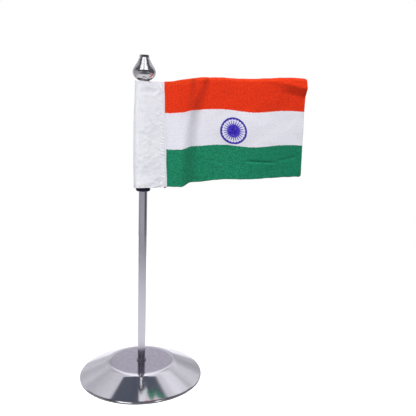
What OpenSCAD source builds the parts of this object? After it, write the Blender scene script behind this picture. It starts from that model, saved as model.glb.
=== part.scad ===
// Desk flag stand: round weighted steel base, slim steel pole, cloth flag on a loose sleeve, pear-shaped finial.
// Millimetres. The origin is the centre of the base's underside, +Z runs up the pole and +X along the flag.

/* [Base] */
// Diameter over the rolled rim
base_d = 120; // [117:1:136]
// Height of the flat top above the table
base_h = 14; // [13.5:0.5:14.5]
// Diameter of the flat top
base_top_d = 61; // [50:1:64]
// Sheet thickness of the pressed cover
cover_t = 1; // [0.8:0.1:1.1]
// Thickness of the rubber pad
pad_t = 1.6; // [1.2:0.1:1.7]

/* [Pole] */
// Outer diameter of the tube
pole_d = 8; // [7.6:0.1:8.4]
// Wall of the tube
pole_wall = 0.8; // [0.6:0.1:1]
// Height of the tube's upper end
pole_top = 285; // [260:1:320]

/* [Flag] */
// Length of the flag from hoist to fly, measured along the cloth
flag_length = 148; // [120:1:180]
// Height of the sleeve
sleeve_height = 98.4; // [80:0.1:105]
// How far the flag's fly end is tilted up, in degrees
flag_tilt = 3.2; // [0:0.1:5]
// Depth of the first fold beside the sleeve
fold_depth = 7; // [2:0.5:9]
// Distance from one fold to the next
fold_pitch = 64; // [50:1:90]
// Thickness of the flag's cloth
flag_t = 0.5; // [0.4:0.05:0.6]
// Thickness of the sleeve's cloth
sleeve_t = 0.6; // [0.4:0.05:0.7]

/* [Finial] */
// Largest diameter of the finial
finial_d = 21.2; // [18:0.2:26]
// Diameter of the finial's tip
finial_tip_d = 8.4; // [7:0.2:10]

/* [Hidden] */
$fn = 64;

// Steel base: rim roll, conical skirt and hole
rim_r = 1.2;
rim_z = 0.9;
rim_lip_angle = -20;
top_fillet_r = 4;
roll_r = 2.5;
roll_lower = 40;
skirt_up = 66.6;
skirt_straight = 14;
thread_r = 2;
cover_mid = cover_t / 2;
pad_r = base_d / 2 - 2.4;

// Ballast
weight_boss_r = 14;
weight_boss_foot_r = 18;
weight_plate_r = base_d / 2 - 11;
weight_plate_t = 3.2;
counterbore_r = 5.5;
counterbore_top = 7;

// Fasteners under the pole
plain_washer_r = 4.5;
plain_washer_t = 0.8;
lock_washer_r = 3.8;
lock_washer_t = 1;
lock_washer_gap = 0.8;
screw_head_r = 4;
screw_head_h = 3;
screw_reach = 11;

// Pole
pole_r = pole_d / 2;
plug_r = pole_r - pole_wall;
foot_plug_h = 16;
top_plug_h = 17;
collar_bead_r = 0.75;

// Finial, above the tube with a running gap
end_gap = 0.3;
neck_r = 5.15;
neck_h = 1.8;
neck_gap = 0.1;
neck_z = pole_top + end_gap;
finial_z = neck_z + neck_h + neck_gap;
finial_r = finial_d / 2;
finial_tip_r = finial_tip_d / 2;
belly_h = 6;
belly_drop = 7.3;
shoulder_h = 14;
shoulder_curve = 0.72;
tip_h = 1.4;
tip_dish = 0.9;
stud_play = 0.05;
stud_down = 9.5;
stud_up = 9;

// Flag and stopper
sleeve_top = pole_top;
sleeve_z = sleeve_top - sleeve_height;
stopper_gap = 0.3;
stopper_play = 0.05;
stopper_r = 6.9;
stopper_foot_r = 5;
stopper_flange_h = 2.1;
spigot_r = 5.2;
spigot_h = 8;
stopper_top = sleeve_z - stopper_gap;

// Loose loop of the sleeve round the pole, then two flat leaves that hold the flag's hoist edge
loop_left = -8.3;
loop_right = 15;
leaf_end = 27;
loop_bulge = 8.4;
leaf_y = (flag_t + sleeve_t) / 2;
loop_a = (loop_right - loop_left) / 2;
loop_x = (loop_right + loop_left) / 2;
loop_steps = 44;

// The flag in its own tilted frame, which starts at the hoist edge; its folds die away towards the fly
hoist_x = 18.2;
seam_w = 3.2;
seam_clear = 0.4;
flag_h = sleeve_height - 0.9;
fold_fade = 90;
chord_share = 0.955;
fold_steps = 60;

// Lockstitch
stitch_x = seam_w / 2;
stitch_pitch = 3.1;
thread_t = 0.3;
stitch_margin = 2;
stitch_count = floor((flag_h - 2 * stitch_margin) / stitch_pitch);
stitch_run = stitch_count * stitch_pitch + thread_t;
rail_y = flag_t / 2 + sleeve_t;

polished = [0.80, 0.80, 0.84];
dark_steel = [0.35, 0.34, 0.38];
zinc = [0.62, 0.63, 0.66];
iron = [0.30, 0.30, 0.31];
rubber = [0.04, 0.04, 0.05];
white_cotton = [0.88, 0.88, 0.92];
flag_cotton = [0.88, 0.30, 0.16];
thread = [0.84, 0.84, 0.86];

// Points on an arc about a centre, from one angle to another
function arc(c, r, from, to, steps) =
  [for (i = [0 : steps]) let (a = from + (to - from) * i / steps) c + r * [cos(a), sin(a)]];

// Unit normal of an open path at one of its points
function normal_at(p, i) =
  let (d = p[min(i + 1, len(p) - 1)] - p[max(i - 1, 0)])
  [-d[1], d[0]] / norm(d);

// One side of a path, moved along its normals
function beside(p, by) = [for (i = [0 : len(p) - 1]) p[i] + by * normal_at(p, i)];

// The outline of a strip of even thickness that follows an open path
function strip(p, t) =
  let (left = beside(p, t / 2), right = beside(p, -t / 2))
  concat(left, [for (i = [len(p) - 1 : -1 : 0]) right[i]]);

// Middle line of the cover's sheet: flat top, fillet, bend, straight skirt, roll and rim.
// The bend's arc touches the fillet's arc and the skirt's line.
function cover_path() =
  let (
    rim_c = [base_d / 2 - rim_r, rim_z],
    rim_mid_r = rim_r - cover_mid,
    roll_c = rim_c - (roll_r - rim_mid_r) * [cos(roll_lower), sin(roll_lower)],
    fillet_c = [base_top_d / 2 - 1, base_h - cover_mid - top_fillet_r],
    u = [cos(skirt_up), sin(skirt_up)],
    skirt_end = roll_c + roll_r * u,
    bend_end = skirt_end + skirt_straight * [-u[1], u[0]],
    v = fillet_c - bend_end,
    bend_r = (top_fillet_r * top_fillet_r - v * v) / (2 * (top_fillet_r + u * v)),
    bend_c = bend_end - bend_r * u,
    bend_up = atan2(fillet_c[1] - bend_c[1], fillet_c[0] - bend_c[0])
  )
  concat(
    [[thread_r + 0.3, base_h - cover_mid]],
    arc(fillet_c, top_fillet_r, 90, bend_up + 2, 2),
    arc(bend_c, bend_r, bend_up, skirt_up, 6),
    arc(roll_c, roll_r, skirt_up, roll_lower, 4),
    arc(rim_c, rim_mid_r, roll_lower - 10, 0, 3),
    [rim_c + rim_mid_r * [cos(rim_lip_angle), sin(rim_lip_angle)]]
  );

module base_cover() {
  color(polished)
    rotate_extrude()
      polygon(strip(cover_path(), cover_t));
}

module base_weight() {
  ceiling = base_h - cover_t;
  color(iron)
    rotate_extrude()
      polygon([
        [thread_r, counterbore_top], [thread_r, ceiling],
        [weight_boss_r, ceiling], [weight_boss_foot_r, pad_t + weight_plate_t + 1],
        [weight_plate_r - 1, pad_t + weight_plate_t], [weight_plate_r, pad_t + weight_plate_t - 1],
        [weight_plate_r, pad_t], [counterbore_r, pad_t], [counterbore_r, counterbore_top]
      ]);
}

module base_pad() {
  color(rubber)
    cylinder(r = pad_r, h = pad_t);
}

module plain_washer() {
  color(zinc)
    translate([0, 0, counterbore_top - plain_washer_t])
      difference() {
        cylinder(r = plain_washer_r, h = plain_washer_t);
        translate([0, 0, -1])
          cylinder(r = thread_r, h = plain_washer_t + 2);
      }
}

module lock_washer() {
  color(zinc)
    translate([0, 0, counterbore_top - plain_washer_t - lock_washer_t])
      difference() {
        cylinder(r = lock_washer_r, h = lock_washer_t);
        translate([0, 0, -1])
          cylinder(r = thread_r, h = lock_washer_t + 2);
        translate([0, -lock_washer_gap / 2, -1])
          cube([lock_washer_r + 1, lock_washer_gap, lock_washer_t + 2]);
      }
}

module base_screw() {
  head_top = counterbore_top - plain_washer_t - lock_washer_t;
  color(zinc)
    difference() {
      union() {
        translate([0, 0, head_top - screw_head_h])
          cylinder(r1 = screw_head_r - 0.8, r2 = screw_head_r, h = 1);
        translate([0, 0, head_top - screw_head_h + 1])
          cylinder(r = screw_head_r, h = screw_head_h - 1);
        translate([0, 0, head_top])
          cylinder(r = thread_r, h = base_h + screw_reach - head_top);
      }
      for (turn = [0, 90])
        rotate([0, 0, turn])
          translate([-2, -0.5, head_top - screw_head_h - 1])
            cube([4, 1, 2.4]);
    }
}

module foot_collar() {
  color(dark_steel)
    rotate_extrude()
      polygon(concat(
        [[pole_r, base_h + 2 * collar_bead_r], [pole_r, base_h]],
        arc([pole_r + 0.1, base_h + collar_bead_r], collar_bead_r, -90, 90, 8)
      ));
}

module pole_tube() {
  color(polished)
    translate([0, 0, base_h])
      difference() {
        cylinder(r = pole_r, h = pole_top - base_h);
        translate([0, 0, -1])
          cylinder(r = plug_r, h = pole_top - base_h + 2);
      }
}

module threaded_plug(z, h, bore_from, bore_h) {
  color(zinc)
    difference() {
      translate([0, 0, z])
        cylinder(r = plug_r, h = h);
      translate([0, 0, bore_from])
        cylinder(r = thread_r, h = bore_h);
    }
}

module pole_foot_plug() {
  threaded_plug(base_h, foot_plug_h, base_h - 1, screw_reach + 2);
}

module pole_top_plug() {
  threaded_plug(pole_top - top_plug_h, top_plug_h, pole_top - stud_down - 2, stud_down + 3);
}

module flag_stopper() {
  flange_z = stopper_top - stopper_flange_h;
  bore_r = pole_r + stopper_play;
  color(rubber)
    rotate_extrude()
      polygon(concat(
        [[bore_r, stopper_top + spigot_h], [bore_r, flange_z - 1], [stopper_foot_r, flange_z - 1]],
        [for (a = [15 : 15 : 90])
          [stopper_foot_r + (stopper_r - stopper_foot_r) * sin(a), flange_z + 0.6 - 1.6 * cos(a)]],
        [[stopper_r, stopper_top], [spigot_r, stopper_top], [spigot_r, stopper_top + spigot_h]]
      ));
}

// Puts its children in the flag's frame: the middle of the hoist edge, tilted up towards the fly
module in_flag_frame() {
  translate([hoist_x, 0, sleeve_z + sleeve_height / 2])
    rotate([0, -flag_tilt, 0])
      children();
}

// Middle line of the sleeve's strip: from one leaf's end round the pole to the other's
function sleeve_path() =
  concat(
    [[leaf_end, leaf_y]],
    [for (i = [0 : loop_steps])
      let (t = 360 * i / loop_steps)
      [loop_x + loop_a * cos(t), loop_bulge * sin(t) * sin(t / 2) + leaf_y * cos(t / 2)]],
    [[leaf_end, -leaf_y]]
  );

module flag_sleeve() {
  color(white_cotton)
    difference() {
      translate([0, 0, sleeve_z])
        linear_extrude(height = sleeve_height)
          polygon(strip(sleeve_path(), sleeve_t));
      in_flag_frame()
        translate([seam_w, -leaf_end, -sleeve_height])
          cube([leaf_end, 2 * leaf_end, 2 * sleeve_height]);
      needle_holes();
    }
}

// The flag seen from above: straight in the seam, then folds that fade towards the fly
function fold_y(along) = -fold_depth * sin(360 * along / fold_pitch) * exp(-along / fold_fade);

function flag_path() =
  let (start = seam_w + seam_clear, run = flag_length * chord_share - start)
  concat(
    [[0, 0]],
    [for (i = [0 : fold_steps]) [start + run * i / fold_steps, fold_y(run * i / fold_steps)]]
  );

module flag_panel() {
  color(flag_cotton)
    difference() {
      in_flag_frame()
        translate([0, 0, -flag_h / 2])
          linear_extrude(height = flag_h)
            polygon(strip(flag_path(), flag_t));
      needle_holes();
    }
}

module needle_holes() {
  in_flag_frame()
    for (i = [0 : stitch_count])
      translate([stitch_x, -rail_y - 1, i * stitch_pitch - stitch_run / 2])
        cube([thread_t, 2 * rail_y + 2, thread_t]);
}

// Two runs of thread, one on each face, joined through the cloth at every needle hole
module sleeve_stitching() {
  color(thread)
    in_flag_frame()
      union() {
        for (y = [-rail_y - thread_t, rail_y])
          translate([stitch_x, y, -stitch_run / 2])
            cube([thread_t, thread_t, stitch_run]);
        for (i = [0 : stitch_count])
          translate([stitch_x, -rail_y - thread_t / 2, i * stitch_pitch - stitch_run / 2])
            cube([thread_t, 2 * rail_y + thread_t, thread_t]);
      }
}

module finial_neck() {
  color(dark_steel)
    translate([0, 0, neck_z])
      difference() {
        cylinder(r = neck_r, h = neck_h);
        translate([0, 0, -1])
          cylinder(r = thread_r, h = neck_h + 2);
      }
}

// Half outline of the finial: round belly, long hollow shoulder, straight tip with a shallow dish
function finial_outline() =
  let (
    widest_z = finial_z + belly_h,
    shoulder_top = widest_z + shoulder_h,
    top = shoulder_top + tip_h
  )
  concat(
    [for (i = [0 : 8])
      let (drop = belly_h * (1 - i / 8))
      [finial_r * sqrt(1 - pow(drop / belly_drop, 2)), widest_z - drop]],
    [for (i = [1 : 16])
      let (swell = pow((1 + cos(180 * i / 16)) / 2, shoulder_curve))
      [finial_tip_r + (finial_r - finial_tip_r) * swell, widest_z + shoulder_h * i / 16]],
    [[finial_tip_r, top - 0.3], [finial_tip_r - 0.3, top], [finial_tip_r - 0.9, top], [0, top - tip_dish]]
  );

module finial_body() {
  color(polished)
    rotate_extrude()
      polygon(concat(
        finial_outline(),
        [[0, finial_z + stud_up], [thread_r - stud_play, finial_z + stud_up], [thread_r - stud_play, finial_z]]
      ));
}

module finial_stud() {
  color(zinc)
    translate([0, 0, pole_top - stud_down])
      cylinder(r = thread_r - stud_play, h = finial_z + stud_up - pole_top + stud_down);
}

base_cover();
base_weight();
base_pad();
base_screw();
plain_washer();
lock_washer();
foot_collar();
pole_tube();
pole_foot_plug();
pole_top_plug();
flag_stopper();
flag_sleeve();
flag_panel();
sleeve_stitching();
finial_neck();
finial_body();
finial_stud();
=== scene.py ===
"""Desk flag stand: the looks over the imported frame, in metres and in the frame's own axes.

The pole stands on the Z axis and the flag runs along +X. Lathed pieces of steel and rubber, the two cloth
sheets and the seam's thread replace their CAD nodes; the hidden pieces keep theirs and get a material.
Outlines and cloth are written in millimetres and scaled when their meshes are made.
"""

import math

import bpy
import numpy as np
from mathutils import Matrix, Vector, noise


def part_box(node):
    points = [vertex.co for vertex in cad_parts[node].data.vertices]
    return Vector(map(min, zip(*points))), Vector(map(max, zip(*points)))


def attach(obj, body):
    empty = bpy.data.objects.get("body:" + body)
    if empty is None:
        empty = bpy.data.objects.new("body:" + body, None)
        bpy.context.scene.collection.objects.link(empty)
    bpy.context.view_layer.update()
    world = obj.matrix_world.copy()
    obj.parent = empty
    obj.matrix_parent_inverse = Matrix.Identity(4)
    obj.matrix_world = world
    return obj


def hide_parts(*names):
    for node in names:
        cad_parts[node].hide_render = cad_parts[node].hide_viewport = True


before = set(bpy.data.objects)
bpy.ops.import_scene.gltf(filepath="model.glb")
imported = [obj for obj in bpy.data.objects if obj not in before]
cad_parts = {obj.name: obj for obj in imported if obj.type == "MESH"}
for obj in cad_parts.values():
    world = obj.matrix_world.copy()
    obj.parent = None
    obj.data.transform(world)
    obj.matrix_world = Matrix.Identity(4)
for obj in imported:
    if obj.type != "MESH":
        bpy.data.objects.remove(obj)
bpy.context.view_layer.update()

MM = 0.001


# ---------------------------------------------------------------- sizes from the frame, in millimetres

def radius_of(node):
    return round(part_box(node)[1].x / MM, 2)


def bottom_of(node):
    return round(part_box(node)[0].z / MM, 2)


def top_of(node):
    return round(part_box(node)[1].z / MM, 2)


PAD_R, PAD_TOP = radius_of("base_pad"), top_of("base_pad")
COVER_TOP = top_of("base_cover")
COLLAR_R, COLLAR_TOP = radius_of("foot_collar"), top_of("foot_collar")
POLE_R, POLE_TOP = radius_of("pole_tube"), top_of("pole_tube")
BUSH_R, BUSH_LOW, BUSH_TOP = radius_of("flag_stopper"), bottom_of("flag_stopper"), top_of("flag_stopper")
SLEEVE_LOW, SLEEVE_TOP = bottom_of("flag_sleeve"), top_of("flag_sleeve")
NECK_LOW, NECK_TOP = bottom_of("finial_neck"), top_of("finial_neck")
STUD_R, STUD_TOP = radius_of("finial_stud"), top_of("finial_stud")
FINIAL_R, FINIAL_LOW, FINIAL_TOP = radius_of("finial_body"), bottom_of("finial_body"), top_of("finial_body")

# The flag: its cloth, what is tucked into the seam, the wheel's centre and radius, and the seam's line.
FLAG_HIGH = 97.5
TUCK = 3.2
ROW_LONG = 143.8
CLOTH_LONG = ROW_LONG + TUCK + 3.0
WHEEL_X, WHEEL_Y, WHEEL_R = 70.5, 47.3, 13.6
SEAM_LOW, SEAM_HIGH = 22.6, 18.4
HOIST_LOW, HOIST_HIGH = SLEEVE_LOW + 1.3, SLEEVE_TOP + 1.0
CLOTH_T = 0.5

# Where the orange and the green meet the white, as shares of the flag's height, at the hoist and at the fly.
ORANGE_EDGE = (0.7067, 0.6607)
GREEN_EDGE = (0.362, 0.320)


# ---------------------------------------------------------------- outlines and lathed pieces

def smooth(x, start, end):
    """0 before start, 1 after end, and an even S between."""
    t = np.clip((x - start) / (end - start), 0, 1)
    return t * t * (3 - 2 * t)


def arc(centre, radius, start, end, steps):
    """Points on an arc from one angle to another, in degrees."""
    angles = np.radians(np.linspace(start, end, steps + 1))
    return [(centre[0] + radius * math.cos(a), centre[1] + radius * math.sin(a)) for a in angles]

def new_mesh(name, points, faces, sharp_degrees=40):
    mesh = bpy.data.meshes.new(name)
    mesh.from_pydata([tuple(p) for p in points], [], faces)
    mesh.update()
    mesh.polygons.foreach_set("use_smooth", [True] * len(mesh.polygons))
    mesh.set_sharp_from_angle(angle=math.radians(sharp_degrees))
    piece = bpy.data.objects.new(name, mesh)
    bpy.context.scene.collection.objects.link(piece)
    return piece
def lathe(name, outline, body, node, material, closed=True, around=160):
    """Turns an outline of (radius, height) points about the pole's axis and puts it in a node's place."""
    points, rings = [], []
    turns = np.linspace(0, 2 * math.pi, around, endpoint=False)
    for radius, height in np.array(outline) * MM:
        if radius < 1e-7:
            rings.append([len(points)] * around)
            points.append((0, 0, height))
        else:
            rings.append(list(range(len(points), len(points) + around)))
            points += [(radius * math.cos(t), radius * math.sin(t), height) for t in turns]
    faces = []
    for low, high in zip(rings, rings[1:] + (rings[:1] if closed else [])):
        for i in range(around):
            j = (i + 1) % around
            corners = [low[i], low[j], high[j], high[i]]
            faces.append(list(dict.fromkeys(corners)))
    piece = new_mesh(name, points, faces)
    piece.data.materials.append(material)
    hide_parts(node)
    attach(piece, body)


# ---------------------------------------------------------------- materials

class Graph:
    """A node tree, written as expressions: every call adds its nodes and returns an output."""

    def __init__(self, tree):
        self.tree = tree

    def put(self, socket, value):
        if isinstance(value, bpy.types.NodeSocket):
            self.tree.links.new(value, socket)
        elif value is not None:
            socket.default_value = value

    def node(self, kind, **inputs):
        made = self.tree.nodes.new("ShaderNode" + kind)
        for name, value in inputs.items():
            if hasattr(made, name):
                setattr(made, name, value)
            else:
                self.put(made.inputs[name.replace("_", " ")], value)
        return made

    def math(self, operation, a, b=None, c=None):
        made = self.node("Math", operation=operation)
        for socket, value in zip(made.inputs, (a, b, c)):
            self.put(socket, value)
        return made.outputs[0]

    def add(self, a, b):
        return self.math("ADD", a, b)

    def times(self, a, b):
        return self.math("MULTIPLY", a, b)

    def minus(self, a, b):
        return self.math("SUBTRACT", a, b)
    def flip(self, value):
        """1 minus a value."""
        return self.minus(1.0, value)

    def length(self, x, y):
        return self.math("SQRT", self.add(self.times(x, x), self.times(y, y)))

    def step(self, value, start, end):
        """0 at start, 1 at end, and an S between."""
        made = self.node("MapRange", interpolation_type="SMOOTHSTEP", clamp=True, Value=value)
        self.put(made.inputs["From Min"], start)
        self.put(made.inputs["From Max"], end)
        return made.outputs[0]

    def scale(self, value, low, high):
        """Maps 0..1 to low..high."""
        made = self.node("MapRange", clamp=False, Value=value)
        self.put(made.inputs["To Min"], low)
        self.put(made.inputs["To Max"], high)
        return made.outputs[0]

    def mix(self, factor, a, b):
        made = self.node("Mix", data_type="RGBA")
        for index, value in ((0, factor), (6, a), (7, b)):
            self.put(made.inputs[index], (*value, 1) if isinstance(value, tuple) else value)
        return made.outputs[2]

    def place(self):
        """The point on the piece itself, in metres."""
        return self.node("TexCoord").outputs["Object"]

    def parts(self, vector):
        return self.node("SeparateXYZ", Vector=vector).outputs

    def vector(self, x, y, z):
        return self.node("CombineXYZ", X=x, Y=y, Z=z).outputs[0]

    def noise(self, vector, scale, detail=3.0, roughness=0.55):
        made = self.node("TexNoise", Vector=vector, Scale=scale, Detail=detail, Roughness=roughness)
        return made.outputs["Fac"]

    def bump(self, height, distance, strength=1.0, normal=None):
        made = self.node("Bump", Height=height, Distance=distance, Strength=strength, Normal=normal)
        return made.outputs[0]
class Material(Graph):
    """A material's nodes. Its settings are values for the shader's own sockets."""

    def __init__(self, name, **settings):
        self.material = bpy.data.materials.new(name)
        self.material.use_nodes = True
        super().__init__(self.material.node_tree)
        self.shader = self.tree.nodes["Principled BSDF"]
        for socket, value in settings.items():
            self.shader.inputs[socket.replace("_", " ")].default_value = value

    def finish(self, colour=None, roughness=None, normal=None):
        for socket, value in (("Base Color", colour), ("Roughness", roughness), ("Normal", normal)):
            if value is not None:
                self.put(self.shader.inputs[socket], value)
        return self.material

    def glow(self, colour, strength):
        """Light of a colour, which a plain value or a node gives."""
        self.put(self.shader.inputs["Emission Color"], colour)
        self.put(self.shader.inputs["Emission Strength"], strength)


def turned_steel(name, colour, rough, line_scale, line_depth, speckle):
    """Polished steel: fine rings from turning or drawing, faint handling marks and a cloudy polish."""
    g = Material(name, Metallic=1.0)
    p = g.place()
    x, y, z = g.parts(p)
    radius = g.length(x, y)
    ringed = g.vector(g.times(radius, line_scale), g.times(z, line_scale), g.times(x, 18))
    rings = g.noise(ringed, 1.0, 4.0)
    cloud = g.noise(p, 90, 3.0)
    grain = g.noise(p, 2600, 2.0)
    worn = g.step(g.noise(p, 260, 5.0, 0.7), 0.56, 0.74)
    shade = g.add(g.scale(cloud, 1 - speckle, 1 + speckle * 0.4), g.scale(grain, -speckle, speckle))
    tone = g.mix(g.times(shade, 0.5), (0, 0, 0), tuple(2 * c for c in colour))
    gloss = g.add(g.scale(cloud, rough * 0.7, rough * 1.35), g.times(worn, rough * 0.5))
    normal = g.bump(rings, line_depth, 0.5, g.bump(grain, line_depth * 0.35, 0.5))
    return g.finish(tone, gloss, normal)


def pressed_cover(colour, satin_painted_tint, rough, satin_r):
    """The cover: a mirror-polished skirt with faint spinning lines, and a satin flat top with scuffs and a
    painted lavender reflection tint.
    """
    g = Material("mat_polished_steel", Metallic=1.0)
    p = g.place()
    x, y, z = g.parts(p)
    radius = g.length(x, y)
    satin = g.flip(g.step(radius, satin_r - 0.55 * MM, satin_r + 0.55 * MM))
    cloud = g.noise(p, 230, 4.0, 0.6)
    grain = g.noise(p, 900, 4.0, 0.7)
    line = g.noise(g.vector(g.times(radius, 900), g.times(x, 26), g.times(y, 26)), 1.0, 4.0, 0.65)
    scuff = g.step(g.noise(p, 420, 5.0, 0.75), 0.60, 0.72)
    shade = g.add(g.scale(cloud, 0.94, 1.06), g.scale(line, -0.045, 0.045))
    shade = g.add(shade, g.times(satin, g.scale(grain, -0.34, 0.30)))
    shade = g.minus(shade, g.times(scuff, 0.05))
    # The flat top's colour carries a painted reflection: it is tinted lavender over its satin finish.
    bright = g.mix(satin, tuple(2 * c for c in colour), tuple(2 * c for c in satin_painted_tint))
    tone = g.mix(g.times(shade, 0.5), (0, 0, 0), bright)
    gloss = g.add(g.scale(cloud, rough * 0.75, rough * 1.3), g.times(satin, 0.06))
    gloss = g.add(gloss, g.times(scuff, 0.11))
    height = g.add(g.times(line, 0.4), g.times(satin, g.times(grain, 1.5)))
    return g.finish(tone, gloss, g.bump(height, 0.012 * MM, 0.5))

def plated(name, colour, rough):
    """Zinc-plated or dull steel for fasteners: mottled plating, darker in patches."""
    g = Material(name, Metallic=1.0)
    p = g.place()
    patches = g.noise(p, 420, 5.0, 0.65)
    dull = tuple(c * 0.62 for c in colour)
    return g.finish(
        g.mix(g.step(patches, 0.38, 0.66), dull, colour),
        g.scale(patches, rough * 0.75, rough * 1.3),
        g.bump(g.noise(p, 3000, 2.0), 0.03 * MM, 0.4),
    )


def cast_iron():
    g = Material("mat_cast_iron", Metallic=0.6)
    p = g.place()
    coarse = g.noise(p, 900, 6.0, 0.7)
    rust = g.step(g.noise(p, 60, 4.0), 0.60, 0.78)
    tone = g.mix(rust, g.mix(coarse, (0.05, 0.05, 0.052), (0.16, 0.16, 0.165)), (0.16, 0.07, 0.035))
    return g.finish(tone, g.scale(coarse, 0.55, 0.85), g.bump(coarse, 0.35 * MM, 0.7))


def rubber():
    g = Material("mat_black_rubber", Specular_IOR_Level=0.35)
    p = g.place()
    grain = g.noise(p, 2400, 3.0, 0.6)
    dust = g.step(g.noise(p, 300, 4.0), 0.55, 0.8)
    tone = g.mix(dust, g.mix(grain, (0.008, 0.008, 0.009), (0.022, 0.022, 0.025)), (0.06, 0.06, 0.066))
    return g.finish(tone, g.scale(grain, 0.48, 0.7), g.bump(grain, 0.06 * MM, 0.6))

def weave(g, u, v, pitch):
    """Height of a plain weave over cloth coordinates in metres: threads pass over and under each other."""
    across = g.math("SINE", g.times(u, 2 * math.pi / pitch))
    along = g.math("SINE", g.times(v, 2 * math.pi / pitch))
    return g.math("ABSOLUTE", g.times(across, along))
def cloth_coordinates(g, width, height):
    """Cloth coordinates in metres, from the piece's UV map."""
    u, v, _ = g.parts(g.node("UVMap", uv_map="cloth").outputs[0])
    return g.times(u, width), g.times(v, height)
def white_cotton(name, width, height, colour):
    """Loomstate-white cotton strip: plain weave, slubs, and a faint bluish painted shade in broad random
    patches.
    """
    g = Material(
        name, Sheen_Weight=0.05, Sheen_Roughness=0.6, Specular_IOR_Level=0.1, Subsurface_Weight=0.3,
        Subsurface_Scale=1.5 * MM, Subsurface_Radius=(1.0, 0.95, 0.9),
    )
    u, v = cloth_coordinates(g, width, height)
    flat = g.vector(u, v, 0.0)
    nap = g.noise(flat, 950, 4.0, 0.7)
    slub = g.noise(g.vector(g.times(u, 60), g.times(v, 700), 0.0), 1.0, 3.0)
    # Painted shade: a faint bluish darkening in broad random patches, not tied to the folds.
    painted_shade_patches = g.noise(flat, 45, 3.0)
    tuft = g.noise(g.vector(g.times(u, 380), g.times(v, 520), 0.0), 1.0, 3.0, 0.65)
    painted_shade_colour = (colour[0] * 0.95, colour[1] * 0.955, colour[2] * 0.99)
    tone = g.mix(g.step(painted_shade_patches, 0.35, 0.7), painted_shade_colour, colour)
    tone = g.mix(g.times(g.step(tuft, 0.40, 0.68), 0.7), tone, tuple(c * 0.91 for c in colour))
    tone = g.mix(g.times(g.step(nap, 0.42, 0.66), 0.4), tone, tuple(c * 0.86 for c in colour))
    height_map = g.add(g.times(weave(g, u, v, 0.9 * MM), 0.5), g.add(g.times(nap, 0.8), g.times(slub, 0.5)))
    height_map = g.add(height_map, g.times(tuft, 1.6))
    return g.finish(tone, g.scale(nap, 0.8, 0.98), g.bump(height_map, 0.24 * MM, 0.9))
def print_and_nap(name):
    """The flag's cloth: brushed plain weave with the three bands and the wheel printed on it."""
    g = Material(name, Sheen_Weight=0.04, Sheen_Roughness=0.5, Specular_IOR_Level=0.06)
    along, y = cloth_coordinates(g, CLOTH_LONG * MM, FLAG_HIGH * MM)
    x = g.minus(along, TUCK * MM)
    flat = g.vector(x, y, 0.0)
    nap = g.noise(flat, 780, 3.0, 0.6)
    fluff = g.noise(flat, 1700, 4.0, 0.7)
    creep = g.noise(flat, 900, 3.0)
    share = g.math("DIVIDE", x, ROW_LONG * MM)

    # The ink's edges creep a little along the threads.
    crept = g.add(y, g.scale(creep, -0.9 * MM, 0.9 * MM))
    upper = g.minus(crept, g.scale(share, *(edge * FLAG_HIGH * MM for edge in ORANGE_EDGE)))
    lower = g.minus(crept, g.scale(share, *(edge * FLAG_HIGH * MM for edge in GREEN_EDGE)))
    orange_side = g.step(upper, -0.12 * MM, 0.12 * MM)
    white_side = g.step(lower, -0.12 * MM, 0.12 * MM)

    patch = g.step(nap, 0.34, 0.68)
    green = g.mix(patch, (0.007, 0.160, 0.080), (0.020, 0.305, 0.158))
    green = g.mix(g.times(g.step(fluff, 0.53, 0.68), 0.75), green, (0.055, 0.43, 0.25))
    blotch = g.step(g.noise(g.vector(x, g.times(y, 1.25), 0.0), 290, 5.0, 0.68), 0.42, 0.62)
    green = g.mix(g.times(blotch, 0.45), green, (0.006, 0.120, 0.064))
    # Painted shade: the green darkens towards the fly, where the cloth turns away from the light.
    green = g.mix(g.times(g.step(share, 0.35, 0.95), 0.32), green, (0.004, 0.130, 0.072))
    white = g.mix(g.step(nap, 0.38, 0.66), (0.70, 0.695, 0.755), (0.80, 0.795, 0.85))
    orange = g.mix(patch, (0.63, 0.025, 0.006), (0.86, 0.050, 0.011))
    orange = g.mix(g.times(g.step(fluff, 0.56, 0.74), 0.4), orange, (0.95, 0.13, 0.028))
    # Lighter along the top hem: partly wear, partly a painted highlight where the curled hem faces the light
    # from above.
    hem_wear_and_highlight = g.times(g.step(y, (FLAG_HIGH - 6) * MM, FLAG_HIGH * MM), g.scale(nap, 0.3, 1.0))
    orange = g.mix(g.times(hem_wear_and_highlight, 0.22), orange, (0.96, 0.155, 0.030))
    # Random darker blotches, more of them towards the fly: mottling, with painted shade where the cloth turns
    # away from the light.
    orange = g.mix(g.times(blotch, g.scale(share, 0.12, 0.48)), orange, (0.60, 0.022, 0.006))
    bleed = g.times(g.step(upper, -4.5 * MM, 0.0), g.flip(g.step(x, 25 * MM, 95 * MM)))
    white = g.mix(g.times(g.times(bleed, g.step(nap, 0.35, 0.65)), 0.22), white, (0.86, 0.42, 0.47))
    white = printed_wheel(g, x, y, white)
    tone = g.mix(white_side, green, g.mix(orange_side, white, orange))
    threads = weave(g, x, y, 0.95 * MM)
    # Painted shade: the gaps between the threads are darkened.
    tone = g.mix(g.times(g.flip(threads), 0.10), tone, (0.02, 0.02, 0.02))
    height = g.add(g.times(threads, 0.45), g.add(g.times(nap, 0.55), g.times(fluff, 0.9)))
    return g.finish(tone, g.scale(fluff, 0.82, 1.0), g.bump(height, 0.15 * MM, 0.8))
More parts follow.
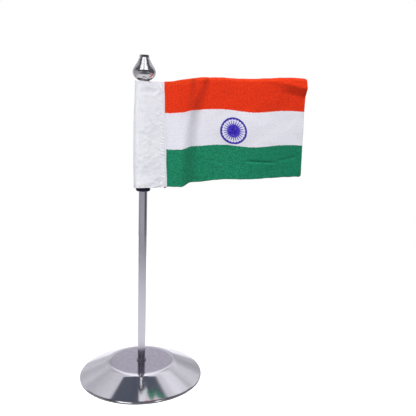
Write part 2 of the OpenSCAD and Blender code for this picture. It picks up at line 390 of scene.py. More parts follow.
def printed_wheel(g, x, y, cloth):
    """The wheel on the cloth's colour: a scalloped rim, a gap, 24 spokes and a blotted hub.

    Radii are shares of the wheel's own. The wheel is printed a little wider than it is high.
    """
    flat = g.vector(x, y, 0.0)
    dx = g.minus(x, WHEEL_X * MM)
    dy = g.times(g.minus(y, WHEEL_Y * MM), 1.06)
    r = g.times(g.length(dx, dy), 1 / (WHEEL_R * MM))
    r = g.add(r, g.scale(g.noise(flat, 700, 3.0), -0.03, 0.03))
    turn = g.math("ARCTAN2", dy, dx)
    beat = g.math("ABSOLUTE", g.math("SINE", g.times(turn, 12)))
    off_spoke = g.times(g.times(beat, r), 1 / 12)
    spoke = g.flip(g.step(g.minus(off_spoke, g.scale(r, 0.050, 0.020)), -0.008, 0.008))
    spoke = g.times(spoke, g.flip(g.step(r, 0.72, 0.77)))
    scallop = g.step(g.minus(r, g.scale(beat, 0.80, 0.86)), -0.012, 0.012)
    rim = g.times(scallop, g.flip(g.step(r, 0.98, 1.01)))
    hub = g.flip(g.step(r, 0.42, 0.56))
    disc = g.flip(g.step(r, 0.97, 1.0))
    blot = g.noise(flat, 520, 3.0, 0.7)
    soaked = g.step(g.add(blot, g.times(r, -0.35)), 0.22, 0.48)
    hub_ink = g.mix(soaked, (0.105, 0.075, 0.58), (0.028, 0.012, 0.36))
    rim_ink = g.mix(blot, (0.016, 0.005, 0.27), (0.050, 0.020, 0.42))
    cloth = g.mix(g.times(disc, 0.22), cloth, (0.50, 0.49, 0.86))
    cloth = g.mix(g.times(spoke, 0.92), cloth, (0.070, 0.050, 0.40))
    cloth = g.mix(g.times(hub, 0.96), cloth, hub_ink)
    return g.mix(g.times(rim, 0.97), cloth, rim_ink)

def spun_thread():
    g = Material("mat_sewing_thread", Sheen_Weight=0.2, Specular_IOR_Level=0.25)
    p = g.place()
    x, y, z = g.parts(p)
    twist = g.math("SINE", g.add(g.times(z, 9000), g.times(g.math("ARCTAN2", y, x), 40)))
    fuzz = g.noise(p, 5000, 2.0)
    # Lighter on the twist's crowns and darker in its grooves, as painted light and shade, and mottled at
    # random by the fuzz.
    twist_shade_and_fuzz = g.scale(g.add(g.times(twist, 0.3), fuzz), 0.0, 0.8)
    tone = g.mix(twist_shade_and_fuzz, (0.60, 0.595, 0.66), (0.80, 0.795, 0.85))
    return g.finish(tone, g.scale(fuzz, 0.7, 0.9), g.bump(twist, 0.05 * MM, 0.5))
# The cover: skirt colour, flat top colour with its painted lavender reflection tint, roughness, and the satin
# top's radius.
polished = pressed_cover((0.81, 0.80, 0.83), (0.81, 0.775, 0.875), 0.085, 29.45 * MM)
# Each steel: colour, roughness, fineness and depth of its rings, and speckle.
pole_metal = turned_steel("mat_pole_steel", (0.60, 0.60, 0.64), 0.16, 2600, 0.012 * MM, 0.06)
finial_metal = turned_steel("mat_finial_steel", (0.62, 0.61, 0.62), 0.18, 4200, 0.012 * MM, 0.05)
ring_metal = turned_steel("mat_ring_steel", (0.42, 0.40, 0.40), 0.22, 3200, 0.015 * MM, 0.10)
neck_metal = turned_steel("mat_neck_steel", (0.62, 0.59, 0.56), 0.40, 3200, 0.015 * MM, 0.12)
dark_metal = turned_steel("mat_dark_steel", (0.026, 0.024, 0.050), 0.34, 3200, 0.02 * MM, 0.15)
zinc = plated("mat_zinc_steel", (0.42, 0.42, 0.40), 0.34)
iron = cast_iron()
black_rubber = rubber()
sleeve_high = (SLEEVE_TOP - SLEEVE_LOW) * MM
sleeve_cotton = white_cotton("mat_white_cotton", 62 * MM, sleeve_high, (0.875, 0.87, 0.905))
flag_cotton = print_and_nap("mat_flag_cotton")
thread = spun_thread()


# ---------------------------------------------------------------- base

SHEET_T = 1.0
SCREW_HOLE = 2.2
RIM, RIM_R, ROLL_R, FILLET_R = Vector((58.8, 0.9)), 0.7, 3.0, 17.0
# Directions square to the sheet, in degrees up from level: on the skirt, and where the roll meets the rim.
SKIRT_UP, ROLL_LOWER = 66.3, 41


def ray(degrees):
    return Vector((math.cos(math.radians(degrees)), math.sin(math.radians(degrees))))


def cover_side(off, finer):
    """One face of the cover's sheet, off from its middle line: flat top, fillet, skirt, roll and rim.

    Each touches the next. The roll's centre follows from the rim, the fillet's from the skirt and the top.
    """
    middle_top = COVER_TOP - SHEET_T / 2
    roll = RIM - (ROLL_R - RIM_R) * ray(ROLL_LOWER)
    skirt_low = roll + ROLL_R * ray(SKIRT_UP)
    fillet_z = middle_top - FILLET_R
    fillet_x = skirt_low.x - (FILLET_R - ray(SKIRT_UP).y * (skirt_low.y - fillet_z)) / ray(SKIRT_UP).x
    fillet = Vector((fillet_x, fillet_z))
    skirt_high = fillet + FILLET_R * ray(SKIRT_UP)
    lean = off * ray(SKIRT_UP)
    return (
        [(SCREW_HOLE, middle_top + off), (16, middle_top + off)]
        + arc(fillet, FILLET_R + off, 90, SKIRT_UP, 6 * finer)
        + [tuple(skirt_high.lerp(skirt_low, t) + lean) for t in (0.02, 0.35, 0.65, 0.98)]
        + arc(roll, ROLL_R + off, SKIRT_UP, ROLL_LOWER, 4 * finer)
        + arc(RIM, RIM_R + off, ROLL_LOWER, -20, 4 * finer)[1:]
    )


cover_outline = cover_side(SHEET_T / 2, 3) + cover_side(-SHEET_T / 2, 2)[::-1]
lathe("cover_pressed", cover_outline, "stand", "base_cover", polished, around=240)

pad_outline = (
    [(SCREW_HOLE, PAD_TOP), (PAD_R - 0.3, PAD_TOP)]
    + arc((PAD_R - 0.3, PAD_TOP - 0.3), 0.3, 90, 0, 4)
    + arc((PAD_R - 0.4, 0.4), 0.4, 0, -90, 5)
    + [(SCREW_HOLE, 0.0)]
)
lathe("pad_rubber", pad_outline, "stand", "base_pad", black_rubber)


# ---------------------------------------------------------------- pole and stopper

ring_r = (COLLAR_TOP - COVER_TOP) / 2
collar_outline = (
    [(POLE_R + 0.02, COLLAR_TOP)]
    + arc((COLLAR_R - ring_r, COVER_TOP + ring_r), ring_r, 90, -90, 14)
    + [(POLE_R + 0.02, COVER_TOP)]
)
lathe("collar_ring", collar_outline, "stand", "foot_collar", ring_metal, around=96)

TUBE_WALL, TUBE_EDGE = 0.8, 0.25
tube_outline = (
    [(POLE_R - TUBE_WALL, COVER_TOP), (POLE_R - 0.2, COVER_TOP), (POLE_R, COVER_TOP + 0.2)]
    + [(POLE_R, height) for height in (60, 120, 180, 240)]
    + arc((POLE_R - TUBE_EDGE, POLE_TOP - TUBE_EDGE), TUBE_EDGE, 0, 90, 4)
    + [(POLE_R - TUBE_WALL, POLE_TOP)]
)
lathe("tube_drawn", tube_outline, "stand", "pole_tube", pole_metal, around=128)

BUSH_BORE, BUSH_BELLY, BUSH_LIP, BUSH_WAIST = POLE_R + 0.05, 1.95, 0.4, POLE_R + 1.2
lip_z = BUSH_LOW + 2.7
bush_outline = (
    [(BUSH_BORE, BUSH_LOW), (4.7, BUSH_LOW)]
    + [
        (4.9 + BUSH_BELLY * math.sin(a), BUSH_LOW + 2.0 - BUSH_BELLY * math.cos(a))
        for a in np.linspace(0.1, 1.5, 14)
    ]
    + arc((BUSH_R - BUSH_LIP, lip_z), BUSH_LIP, 0, 90, 5)
    + [(BUSH_WAIST, lip_z + BUSH_LIP), (BUSH_WAIST, BUSH_TOP - 0.4), (BUSH_WAIST - 0.4, BUSH_TOP)]
    + [(BUSH_BORE, BUSH_TOP)]
)
lathe("stopper_bush", bush_outline, "stopper", "flag_stopper", dark_metal, around=96)


# ---------------------------------------------------------------- neck and finial

NECK_R, NECK_EDGE = 5.1, 0.4
neck_outline = (
    [(STUD_R + 0.1, NECK_LOW), (NECK_R - NECK_EDGE, NECK_LOW)]
    + arc((NECK_R - NECK_EDGE, NECK_LOW + NECK_EDGE), NECK_EDGE, -90, 0, 5)
    + arc((NECK_R - NECK_EDGE, NECK_TOP - NECK_EDGE), NECK_EDGE, 0, 90, 5)
    + [(STUD_R + 0.1, NECK_TOP)]
)
lathe("neck_ring", neck_outline, "neck", "finial_neck", neck_metal, around=96)

# The pear: half an ellipse below its widest ring, cut off round the neck, and a hollow shoulder above it.
BELLY_Z = FINIAL_LOW + 6.0
BELLY_DROP, BELLY_CUT = 8.0, 6.8
TIP_R, SHOULDER_HIGH = 4.4, 12.9


def swell(t):
    """How much wider than the tip the shoulder is, as a share: 1 at the widest ring and 0 at the tip."""
    return ((1 + math.cos(math.pi * t)) / 2) ** 0.85 + 0.085 * math.sin(math.pi * t ** 4)


def finial_outline():
    """From the blind hole for the stud, out under the belly, up the shoulder and into the dished tip."""
    hole_r, hole_top, face = STUD_R + 0.06, STUD_TOP + 0.3, FINIAL_LOW + 0.05
    hole = [(0.0, hole_top), (hole_r, hole_top), (hole_r, face)]
    recess = [(NECK_R + 0.2, face), (NECK_R + 0.3, face - 0.1), (NECK_R + 0.3, face - 0.75)]
    belly = [
        (FINIAL_R * math.cos(a), BELLY_Z - BELLY_DROP * math.sin(a))
        for a in np.linspace(math.asin(BELLY_CUT / BELLY_DROP), 0, 24)
    ]
    shoulder = [
        (TIP_R + (FINIAL_R - TIP_R) * swell(t), BELLY_Z + SHOULDER_HIGH * t)
        for t in np.linspace(0, 1, 44)[1:]
    ]
    # The rim tapers a little, and the dish inside it sinks to a flat floor.
    taper = ((0, 2.3), (0.01, 2.0), (0.03, 0.6), (0.04, 0.4))
    sink = ((3.6, 0.05), (3.2, 0.25), (2.2, 0.75), (1.1, 0.88), (0.0, 0.9))
    rim = [(TIP_R - inward, FINIAL_TOP - down) for inward, down in taper]
    edge = arc((TIP_R - 0.29, FINIAL_TOP - 0.3), 0.25, 0, 90, 5)
    dish = [(radius, FINIAL_TOP - down) for radius, down in sink]
    return hole + recess + belly + shoulder + rim + edge + dish


lathe(
    "finial_polished", finial_outline(), "finial", "finial_body", finial_metal, closed=False
)

# The hidden pieces keep their CAD shapes.
for node, material in (
    ("base_weight", iron),
    ("base_screw", zinc),
    ("plain_washer", zinc),
    ("lock_washer", zinc),
    ("pole_foot_plug", zinc),
    ("pole_top_plug", zinc),
    ("finial_stud", zinc),
):
    for material_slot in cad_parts[node].material_slots:
        material_slot.link = "OBJECT"
        material_slot.material = material


# ---------------------------------------------------------------- cloth

def hump(x, rise, fall):
    """Climbs from 0 to 1 between the first two values and falls back between the second two."""
    return smooth(x, *rise) * (1 - smooth(x, *fall))


def bell(distance, width):
    """1 on a line, and next to nothing two widths away from it."""
    return np.exp(-((distance / width) ** 2))


def wander(points, size, seed, stretch=(1, 1, 1)):
    """Smooth noise from about -1 to 1 at each (x, y, z) point in millimetres, with bumps of that size."""
    spots = points * (np.array(stretch) / size)
    shift = np.array([7.13, -3.71, 5.37]) * seed
    values = [noise.noise(Vector(spot)) for spot in spots.reshape(-1, 3) + shift]
    return np.array(values).reshape(points.shape[:-1]) * 1.6


def seam_edge(share):
    """X of the sleeve's edge on the seam, from the bottom of the hoist to its top."""
    return SEAM_LOW + (SEAM_HIGH - SEAM_LOW) * share


def hoist_share(height):
    return (height - HOIST_LOW) / (HOIST_HIGH - HOIST_LOW)

def sheet_mesh(name, grid, cloth_uv, thickness, body, node, material):
    """A sheet from a grid of points in millimetres, its cloth coordinates as a UV map, and a thickness."""
    rows, columns, _ = grid.shape
    index = np.arange(rows * columns).reshape(rows, columns)
    faces = np.stack([index[:-1, :-1], index[:-1, 1:], index[1:, 1:], index[1:, :-1]], axis=-1)
    piece = new_mesh(name, grid.reshape(-1, 3) * MM, faces.reshape(-1, 4).tolist(), sharp_degrees=60)
    layer = piece.data.uv_layers.new(name="cloth")
    corners = np.empty(len(piece.data.loops), dtype=np.int64)
    piece.data.loops.foreach_get("vertex_index", corners)
    layer.data.foreach_set("uv", cloth_uv.reshape(-1, 2)[corners].ravel())
    piece.data.materials.append(material)
    solid = piece.modifiers.new("thickness", "SOLIDIFY")
    solid.thickness = thickness * MM
    solid.offset = 0
    solid.use_even_offset = False
    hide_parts(node)
    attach(piece, body)
    return piece
def flag_plan(along, v):
    """Depth of the hanging flag, by length along its rows: forward out of the seam, then back across a fold.

    The fold splits in two towards the top.
    """
    split_a = 23 + 6 * v
    split_b = 23 + 21 * v ** 2
    wide = 12 - 7.5 * v ** 2
    first = smooth(along, split_a - wide, split_a + wide)
    second = smooth(along, split_b - wide, split_b + wide * 1.1)
    back = 0.5 * (first + second)
    front_ridge = -(5.7 - 1.2 * v) * smooth(along, 0, 15) * (1 - back)
    valley = (4.6 - 1.4 * v) * back * (1 - smooth(along, 52 + 12 * v, 112 + 6 * v))
    turn_away = 6.5 * smooth(along, 75, 160)
    soft_sides = 0.9 * np.sin((along - 60) / 21.0) * smooth(along, 55, 85)
    return front_ridge + valley + turn_away + soft_sides


def flag_height(x, s, v):
    """Height of the hanging flag: its edges rise unevenly to the fly, and its middle sags."""
    rise_low = 4.2 * smooth(x, 35, 46) + 3.4 * smooth(x, 46, 85) + 3.4 * smooth(x, 95, 158)
    rise_high = 7.9 * smooth(x, 20, 68) + 3.4 * smooth(x, 92, 150)
    z = HOIST_LOW + (HOIST_HIGH - HOIST_LOW) * v + rise_low * (1 - v) + rise_high * v
    z = z - 1.5 * (1 - smooth(s, -0.9, 0.2)) * smooth(v, 0.9, 1.0)
    return z - 1.8 * np.cos(np.clip((x - 110) / 32, -1, 1) * math.pi / 2) ** 2 * np.sin(math.pi * v)


def corner_lean(x, z):
    """How far the flag's top corner leans forward above its crease, with a tip that turns back again."""
    crease_z = HOIST_HIGH - 7.7 + 0.16 * np.maximum(158 - x, 0)
    above = z - crease_z
    width = 0.3 + 5 * (1 - smooth(x, 128, 148))
    lean = np.where(above > 0, above ** 2 / (above + width), 0)
    lean = lean - 1.35 * np.maximum(above - 8.0, 0) * smooth(above, 6.0, 11)
    return 0.60 * smooth(x, 112, 148) * lean


def flag_grid(columns=190, rows=124):
    """The flag hanging from its seam, with a soft fold, a gentle sag, a curled hem and a bent corner."""
    v = np.linspace(0, 1, rows)[:, None]
    share = np.linspace(0, 1, columns)[None, :]
    # Both corners of the fly are a little rounded.
    round_low = 1.5 * (1 - smooth(v * FLAG_HIGH, 0, 2.5)) ** 2
    round_high = 0.9 * (1 - smooth((1 - v) * FLAG_HIGH, 0, 2.0)) ** 2
    long = ROW_LONG - 2.2 + 3.4 * v - round_low - round_high
    s = -TUCK + share * (long + TUCK)
    along = np.maximum(s, 0)
    depth = flag_plan(along, v)

    # Distance along the row turns into X by the cloth's own length.
    step = np.diff(s, axis=1)
    run = np.sqrt(np.maximum(step ** 2 - np.diff(depth, axis=1) ** 2, (0.4 * step) ** 2))
    start = seam_edge(v) + s[:, :1]
    x = np.concatenate([start, start + np.cumsum(run, axis=1)], axis=1)
    z = flag_height(x, s, v)

    # The hem: the last few millimetres below the top edge roll back.
    below_top = (1 - v) * FLAG_HIGH
    hem = np.clip((4.2 - below_top) / 4.2, 0, 1) ** 2 * smooth(along, 22, 50)
    y = depth + 2.4 * hem
    z = z - 0.9 * hem
    y = y - corner_lean(x, z)

    # A faint crease across the green, a shorter one near the fly, and the cloth's own unevenness.
    crease = bell(z - (HOIST_LOW + 25.1) + 0.03 * (x - 115), 1.1) * hump(x, (98, 108), (122, 136))
    crumple = bell(z - (HOIST_LOW + 28.6) - 0.25 * (x - 143), 1.6) * hump(x, (128, 140), (150, 157))
    y = y + 1.35 * crease + 0.5 * crumple
    loose = smooth(along, 0, 12)
    spots = np.stack([x, 0 * z, z], axis=-1)
    y = y + loose * (0.75 * wander(spots, 34, 1) + 0.30 * wander(spots, 13, 2) + 0.10 * wander(spots, 6, 3))
    z = z + loose * 0.22 * wander(spots, 7, 4) * (1 - smooth(np.minimum(v, 1 - v) * FLAG_HIGH, 0, 9))
    # The hoist edge's lower corner hangs a little out of the sleeve.
    z = z - 1.5 * hump(s, (-TUCK, -2.4), (-1.6, 0.4)) * (1 - smooth(v, 0.0, 0.03))
    grid = np.stack([x, y, z], axis=-1)
    uv = np.stack([(s + TUCK) / CLOTH_LONG, v + 0 * s], axis=-1)
    return grid, uv


# The sleeve's tube opens into its two leaves at this X, and a leaf lies this far from the flag's middle.
MOUTH_X, LEAF_Y = 17.2, 0.56

# The seam: a stitch's length, the first and last heights, how far inside the edge it runs, and its thread.
STITCH = 3.1
STITCH_LOW, STITCH_HIGH = HOIST_LOW + 0.5, HOIST_HIGH - 2.0
STITCH_IN = 1.5
THREAD_R = 0.17


def sleeve_tube(w, around):
    """The tube's section at each height, laid out by length: a straight face, a bend over the pole, a level
    stretch and a round end, which the other half mirrors. w runs up the sleeve and around runs round it.
    """
    left = -8.0 - 1.05 * smooth(w, 1.0, 0.6) + 0.45 * smooth(w, 0.3, 0.0)
    clear = 4.5 + 1.25 * smooth(w, 0.14, 0.02) + 0.4 * smooth(w, 0.88, 0.985)
    end_x = left + clear
    tilt = np.arcsin((clear - LEAF_Y) / MOUTH_X)
    over = 3.0
    face = MOUTH_X / np.cos(tilt) - over / 2
    flat = np.maximum(-end_x - over / 2, 0.2)
    round_end = clear * math.pi / 2
    half_way = np.minimum(around, 1 - around) * 2 * (face + over + flat + round_end)
    bend = np.clip((half_way - face - over - flat) / clear, 0, math.pi / 2)
    # Slope along the section: constant on the face, easing to level over the pole, level to the round end.
    walked = np.minimum(half_way, face)
    over_run = np.clip((half_way - face) / over, 0, 1) * over
    x = MOUTH_X - np.cos(tilt) * walked - over_run * np.cos(tilt * 0.6)
    x = x - np.clip(half_way - face - over, 0, flat) - clear * np.sin(bend)
    y = LEAF_Y + np.sin(tilt) * (walked + over_run - over_run ** 2 / (2 * over))
    top_y = LEAF_Y + np.sin(tilt) * (face + over / 2)
    y = np.where(bend > 0, top_y * np.cos(bend), y) * np.where(around < 0.5, 1.0, -1.0)
    # Where it leaves the seam the face eases out of the leaf.
    mouth = 1 - smooth(np.abs(x - MOUTH_X), 0.0, 4.0)
    return x, y * (1 - 0.3 * mouth) + 0.3 * mouth * np.sign(y) * LEAF_Y


def sleeve_lift(x, z, spots, side, from_seam):
    """How far the cloth stands out from the smooth tube: puckers, creases and its own unevenness."""
    # Puckers run back from the stitches, as long as the stitches are.
    gather = np.sin(2 * math.pi * (z - 0.45 * from_seam) / STITCH + 2.2 * wander(spots, 11, 5))
    gather = gather * np.exp(-from_seam / 2.6) * smooth(from_seam, 0, 0.8)
    gather = gather * (0.25 + 0.75 * np.abs(wander(spots, 9, 6)))
    # Thin creases slant up towards the seam.
    slant = np.stack([x * 0.87 + 0.5 * z, spots[..., 1], z * 0.87 - 0.5 * x], axis=-1)
    ridge = bell(wander(slant, 5.0, 7, (0.40, 1, 1)), 0.2) * smooth(wander(spots, 13, 11), -0.4, 0.4)
    ridge = ridge * smooth(from_seam, 0.5, 3) * (1 - 0.8 * smooth(from_seam, 10, 20))
    lift = 0.50 * gather + 0.30 * ridge
    lift = lift + 0.17 * wander(spots, 4, 12) * smooth(from_seam, 0, 4)
    lift = lift + 0.30 * wander(spots, 20, 8, (1, 1, 0.8)) * smooth(from_seam, 0, 6)
    lift = np.maximum(lift, -0.32)
    # One pull crease runs on the front from the top edge down to the seam.
    pull_x, pull_z = x - 13.0, z - (SLEEVE_TOP - 2.0)
    off_line = pull_x * 0.835 + pull_z * 0.55
    along_line = pull_x * 0.55 - pull_z * 0.835
    pull = bell(off_line, 0.6) * hump(along_line, (-2.0, 1.5), (6.0, 9.5))
    return lift + 0.7 * pull * (side < 0)


def sleeve_grid(columns=150, rows=200):
    """The sleeve: a soft flattened tube round the pole, with both its edges sewn to the flag's hoist."""
    w = np.linspace(0, 1, rows)[:, None]
    share = np.linspace(0, 1, columns)[None, :]
    leaf_share = 0.085
    around = np.clip((share - leaf_share) / (1 - 2 * leaf_share), 0, 1)
    x, y = sleeve_tube(w, around)
    z = SLEEVE_LOW + (SLEEVE_TOP - SLEEVE_LOW) * w + 0 * x

    # The two leaves run on from the tube's mouth to the seam's edge.
    edge = seam_edge(hoist_share(z)) + 0.15 + 0.22 * np.sin(z / 5.3) * np.sin(z / 13.1 + 1.0)
    leaf = np.clip(np.maximum(leaf_share - share, share - 1 + leaf_share) / leaf_share, 0, 1)
    x = x + leaf * (edge - MOUTH_X)
    side = np.where(share < 0.5, 1.0, -1.0)
    # The noise of the two faces is read 60 mm apart, so that they differ.
    spots = np.stack([x, 30 * side + 0 * z, z], axis=-1)
    from_seam = np.maximum(edge - 1.6 - x, 0)
    y = y + side * sleeve_lift(x, z, spots, side, from_seam)

    # The cut edges: not quite straight, and the bottom one lifts towards the seam.
    near_low = 1 - smooth(z, SLEEVE_LOW, SLEEVE_LOW + 8)
    near_high = smooth(z, SLEEVE_TOP - 6, SLEEVE_TOP)
    bottom_edge = 0.9 * smooth(x, 4, 22) + 0.12 * wander(spots, 5, 9) + 0.1
    top_edge = 0.85 * (1 - smooth(x, -7.5, -2.5)) - 0.1 + 0.9 * smooth(x, 4, 10) + 0.10 * wander(spots, 5, 10)
    z = z + near_low * bottom_edge + near_high * top_edge
    grid = np.stack([x, y, z], axis=-1)

    uv = np.stack([share + 0 * w, w + 0 * share], axis=-1)
    cloth_width = np.linalg.norm(np.diff(grid, axis=1), axis=2).sum(axis=1).mean()
    return grid, uv, float(cloth_width)


def seam_paths():
    """The thread's run on each face of the seam: out over the cloth in each stitch and in at its holes."""
    heights = np.arange(STITCH_LOW, STITCH_HIGH, STITCH / 14)
    seam_x = seam_edge(hoist_share(heights)) - STITCH_IN
    beat = np.abs(np.sin(math.pi * (heights - STITCH_LOW) / STITCH)) ** 0.6
    return [np.stack([seam_x, face * (0.52 + 0.46 * beat), heights], axis=-1) for face in (-1, 1)]

def thread_mesh(name, paths, radius, sides=8):
    """Round thread along each path, closed at both ends."""
    points, faces = [], []
    for path in paths:
        run = np.gradient(path, axis=0)
        run /= np.linalg.norm(run, axis=1)[:, None]
        out = np.cross(run, np.array([1.0, 0, 0]))
        out /= np.linalg.norm(out, axis=1)[:, None]
        side = np.cross(run, out)
        first = len(points)
        for centre, a, b in zip(path, out, side):
            for k in range(sides):
                turn = 2 * math.pi * k / sides
                points.append(tuple(centre + radius * (math.cos(turn) * a + math.sin(turn) * b)))
        for i in range(len(path) - 1):
            for k in range(sides):
                m = (k + 1) % sides
                a, b = first + i * sides, first + (i + 1) * sides
                faces.append([a + k, a + m, b + m, b + k])
        last = first + (len(path) - 1) * sides
        faces.append([first + k for k in reversed(range(sides))])
        faces.append([last + k for k in range(sides)])
    return new_mesh(name, np.array(points) * MM, faces, 70)
grid, uv = flag_grid()
flag = sheet_mesh("flag_cloth", grid, uv, CLOTH_T, "flag", "flag_panel", flag_cotton)

stitches = thread_mesh("seam_thread", seam_paths(), THREAD_R)
stitches.data.materials.append(thread)
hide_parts("sleeve_stitching")
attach(stitches, "flag")

grid, uv, sleeve_width = sleeve_grid()
sleeve = sheet_mesh("sleeve_cloth", grid, uv, CLOTH_T, "flag", "flag_sleeve", sleeve_cotton)


# ---------------------------------------------------------------- table, card and soft boxes, in metres

# A surface that gives light and sends none back.
UNLIT = {"Base_Color": (0, 0, 0, 1), "Roughness": 1.0, "Specular_IOR_Level": 0.0}
TABLE_R = 0.7
# The camera stands this many degrees round from straight in front. Azimuths below are counted from there.
CAMERA_TURN = 3.54


def reflected_only(piece):
    """Hides a piece of the stage from everything but reflections in polished metal."""
    piece.visible_camera = piece.visible_diffuse = piece.visible_shadow = False


def white_floor():
    g = Material("mat_floor", Specular_IOR_Level=0.1)
    fleck = g.noise(g.place(), 140, 3.0)
    g.glow((0.95, 0.95, 0.96, 1), 0.75)
    tone = g.mix(fleck, (0.80, 0.80, 0.82), (0.84, 0.84, 0.86))
    return g.finish(tone, g.scale(fleck, 0.8, 0.95), g.bump(fleck, 0.02 * MM, 0.2))


def table_glow():
    """What polished metal sees of the table: bright beside the object, fading with distance.

    A dark edge in front of the base keeps the underside of its rim dark.
    """
    g = Material("mat_table_glow", **UNLIT)
    x, y, z = g.parts(g.place())
    far = g.length(x, y)
    tone = g.mix(g.step(far, 0.05, 0.72), (1.00, 0.98, 1.05), (0.36, 0.36, 0.38))
    edge = g.times(g.flip(g.step(far, 0.063, 0.072)), g.flip(g.step(y, -0.035, -0.005)))
    g.glow(g.mix(edge, tone, (0.10, 0.10, 0.12)), 1.0)
    return g.material


def disc(name, height, material, corners=120):
    turns = np.linspace(0, 2 * math.pi, corners, endpoint=False)
    ring = [(TABLE_R * math.cos(a), TABLE_R * math.sin(a), height) for a in turns]
    faces = [[0, 1 + i, 1 + (i + 1) % corners] for i in range(corners)]
    piece = new_mesh(name, [(0, 0, height)] + ring, faces)
    piece.data.materials.append(material)
    return piece


floor = disc("floor", 0.0, white_floor())
floor.visible_glossy = floor.visible_diffuse = False
reflected_only(disc("table_glow", -0.0001, table_glow()))


def soft_box(name, start, end, strength, low=0.76, high=1.62, panels=12):
    """A light behind the camera and a metre from the pole, from one azimuth to another."""
    angles = np.radians(np.linspace(start, end, panels + 1) - CAMERA_TURN)
    points = [(math.sin(a), -math.cos(a), height) for a in angles for height in (low, high)]
    piece = new_mesh(name, points, [[2 * i, 2 * i + 2, 2 * i + 3, 2 * i + 1] for i in range(panels)])
    g = Material("mat_" + name, **UNLIT)
    g.glow(g.mix(g.noise(g.place(), 3, 2.0), (0.9, 0.9, 0.93), (1.0, 1.0, 1.0)), strength)
    piece.data.materials.append(g.material)
    reflected_only(piece)


soft_box("soft_box_left", -47, -10, 1.9)
soft_box("soft_box_middle", -10, 2, 0.3)
soft_box("soft_box_right", 2, 42, 1.9)


def grey_card(height=0.24):
    """A level dark card in front of the pole. It keeps the boxes out of the base's rim and darkens the
    finial's lower front.
    """
    corners = [
        (-0.12, -0.055), (0.15, -0.055), (0.15, -0.13), (0.09, -0.18),
        (0.20, -0.60), (-0.22, -0.60), (-0.075, -0.18), (-0.12, -0.12),
    ]
    piece = new_mesh("grey_card", [(x, y, height) for x, y in corners], [list(range(len(corners)))])
    g = Material("mat_grey_card", **UNLIT)
    g.glow(g.mix(g.noise(g.place(), 20, 3.0), (0.10, 0.10, 0.12), (0.17, 0.17, 0.19)), 1.0)
    piece.data.materials.append(g.material)
    reflected_only(piece)


grey_card()


# ---------------------------------------------------------------- the studio round the object

STEEL_TINT = (1.0, 0.985, 1.06)


class Sky(Graph):
    """The world's nodes. Heights and azimuths are in degrees; rear is the azimuth counted from 0 to 360."""

    def __init__(self):
        world = bpy.data.worlds.new("studio")
        world.use_nodes = True
        bpy.context.scene.world = world
        super().__init__(world.node_tree)
        self.tree.nodes.clear()
        self.direction = self.node("TexCoord").outputs["Generated"]
        x, y, self.up = self.parts(self.direction)
        turned = self.times(self.math("ARCTAN2", x, self.times(y, -1)), 180 / math.pi)
        self.azimuth = self.add(turned, CAMERA_TURN)
        self.height = self.times(self.math("ARCSINE", self.up), 180 / math.pi)
        self.aside = self.math("ABSOLUTE", self.azimuth)
        self.rear = self.math("MODULO", self.add(self.azimuth, 360), 360)

    def window(self, value, start, end, soft=3):
        """1 between two values, with soft edges."""
        opens = self.step(value, start - soft, start + soft)
        return self.times(opens, self.flip(self.step(value, end - soft, end + soft)))

    def paint(self, under, colour, *windows):
        """Lays a colour over what is there already, where all the windows are open."""
        factor = windows[0]
        for window in windows[1:]:
            factor = self.times(factor, window)
        return self.mix(factor, under, colour)

    def bands(self, *stops):
        """Brightness that follows the height smoothly from stop to stop."""
        ramp = self.node("ValToRGB")
        low, high = stops[0][0], stops[-1][0]
        self.put(ramp.inputs[0], self.times(self.minus(self.height, low), 1 / (high - low)))
        line = ramp.color_ramp
        line.interpolation = "EASE"
        while len(line.elements) < len(stops):
            line.elements.new(0.5)
        for element, (at, level) in zip(line.elements, stops):
            element.position = (at - low) / (high - low)
            element.color = (*(level * tint for tint in STEEL_TINT), 1)
        return ramp.outputs[0]


def rear_wall(g, sky):
    """Behind the object: bands of light on the left, the right and in the middle, under a dark ceiling."""
    left = g.bands(
        (-8, 0.74), (0, 0.66), (8, 0.62), (18, 0.56), (24, 0.54), (30, 0.60), (35, 0.54), (41, 0.505),
        (47, 0.57), (53, 0.66), (90, 0.63),
    )
    right = g.bands(
        (-8, 0.70), (0, 0.60), (4, 0.475), (14, 0.425), (19, 0.49), (24, 0.61), (30, 0.73), (36, 0.69),
        (42, 0.56), (47, 0.74), (54, 0.85), (61, 0.72), (90, 0.66),
    )
    middle = g.bands(
        (-8, 0.64), (10, 0.63), (19, 0.60), (22.5, 0.52), (24, 0.37), (28, 0.37), (33, 0.80), (45, 1.10),
        (90, 1.10),
    )
    # The dark ceiling begins lowest in the middle, and a little lower on the left than on the right.
    ceiling_left = g.times(g.step(g.height, 60.8, 62.6), g.window(g.rear, 180, 275, 2))
    ceiling_right = g.times(g.step(g.height, 63.0, 67.0), g.window(g.rear, 85, 180, 2))
    ceiling_middle = g.times(g.step(g.height, 57, 60), g.window(g.rear, 167, 194, 2))
    ceiling = g.math("MAXIMUM", g.math("MAXIMUM", ceiling_left, ceiling_right), ceiling_middle)
    above_table = g.window(g.height, -7, 95)
    sky = g.paint(sky, (0.62, 0.60, 0.66), g.window(g.rear, 110, 285), g.window(g.height, -70, -2))
    sky = g.paint(sky, left, g.window(g.rear, 180, 250, 2), above_table)
    sky = g.paint(sky, right, g.window(g.rear, 110, 180, 2), above_table)
    sky = g.paint(sky, middle, g.window(g.rear, 168, 193, 4), above_table)
    return g.paint(sky, (0.090, 0.101, 0.132), ceiling)


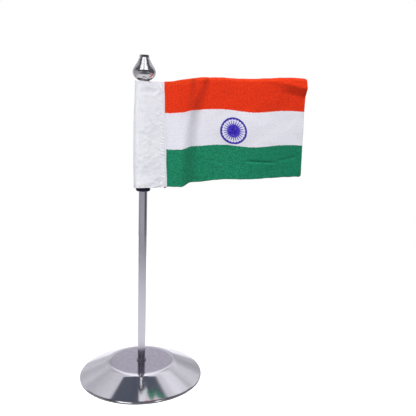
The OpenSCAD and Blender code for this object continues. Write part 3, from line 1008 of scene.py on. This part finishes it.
def sides_and_front(g, sky):
    """Dark screens at both sides, a dark room in front, and bright windows high above the camera."""
    front_low = g.window(g.height, -3.5, 48, 2)
    sky = g.paint(sky, (0.10, 0.10, 0.12), g.window(g.aside, 46, 114, 5), g.window(g.height, 16, 38))
    sky = g.paint(sky, (0.14, 0.135, 0.16), g.window(g.aside, 46, 106, 6), g.window(g.height, 38, 88))
    sky = g.paint(sky, (0.075, 0.075, 0.090), g.window(g.aside, 48, 96, 6), g.window(g.height, 48, 95))
    sky = g.paint(sky, (0.42, 0.41, 0.44), g.window(g.azimuth, -125, -66, 9), g.window(g.height, -16, 16, 5))
    sky = g.paint(sky, (0.11, 0.10, 0.12), g.window(g.azimuth, 46, 119, 6), g.window(g.height, -12, 18))
    sky = g.paint(sky, (0.050, 0.048, 0.065), g.window(g.azimuth, -66, 50, 4), front_low)
    sky = g.paint(sky, (1.8, 1.8, 1.85), g.window(g.azimuth, -47, 42, 4), g.window(g.height, 50, 60, 4))
    sky = g.paint(sky, (1.8, 1.8, 1.85), g.window(g.azimuth, -68, 60, 5), g.window(g.height, 57, 78, 4))
    return g.paint(sky, (0.25, 0.25, 0.28), g.window(g.azimuth, -12, 3, 2), g.window(g.height, 50, 84, 4))


def studio():
    """White for the camera, an even fill for cloth, and the painted studio for reflections."""
    g = Sky()
    sky = g.mix(g.step(g.height, -5, -1), (0.56, 0.55, 0.60), (0.50, 0.48, 0.56))
    sky = sides_and_front(g, rear_wall(g, sky))
    # No wall is evenly lit. The factor reaches above 1, so the colour is doubled and mixed at half strength.
    uneven = g.scale(g.noise(g.direction, 5.0, 4.0, 0.6), 0.72, 1.28)
    doubled = g.node("VectorMath", operation="SCALE", Vector=sky, Scale=2.0).outputs[0]
    sky = g.mix(g.times(uneven, 0.5), (0, 0, 0), doubled)

    path = g.node("LightPath").outputs
    fill = g.mix(g.step(g.up, -0.7, 0.8), (0.34, 0.34, 0.36), (0.60, 0.60, 0.63))
    glossy = g.mix(path["Is Glossy Ray"], fill, sky)
    seen = g.mix(path["Is Camera Ray"], glossy, (1.0, 1.0, 1.0))
    background = g.node("Background", Color=seen)
    g.node("OutputWorld", Surface=background.outputs[0])


studio()


def area_light(name, place, target, size, power):
    data = bpy.data.lights.new(name, "AREA")
    data.shape = "DISK"
    data.size = size
    data.energy = power
    light = bpy.data.objects.new(name, data)
    bpy.context.scene.collection.objects.link(light)
    light.location = place
    light.rotation_euler = (Vector(target) - Vector(place)).to_track_quat("-Z", "Y").to_euler()
    light.visible_glossy = False


area_light("key", (-0.20, -0.80, 1.10), (0.05, 0, 0.22), 0.30, 13.6)


# ---------------------------------------------------------------- camera

# Its place in metres, how far it looks to the right of +Y, how far down, and its roll, in radians.
CAMERA_PLACE = (-0.0283, -0.4570, 0.2318)
TURN, DIP, ROLL = 0.1983, 0.1378, 0.0286

camera_data = bpy.data.cameras.new("camera")
camera_data.lens = 41.43
camera_data.sensor_width = 36
camera_data.clip_start = 0.01
camera = bpy.data.objects.new("camera", camera_data)
bpy.context.scene.collection.objects.link(camera)
bpy.context.scene.camera = camera
forward = Vector((math.sin(TURN) * math.cos(DIP), math.cos(TURN) * math.cos(DIP), -math.sin(DIP)))
look = forward.to_track_quat("-Z", "Y").to_matrix().to_4x4()
camera.matrix_world = Matrix.Translation(CAMERA_PLACE) @ look @ Matrix.Rotation(ROLL, 4, "Z")

bpy.context.scene.view_settings.view_transform = "Standard"
bpy.context.scene.view_settings.look = "None"
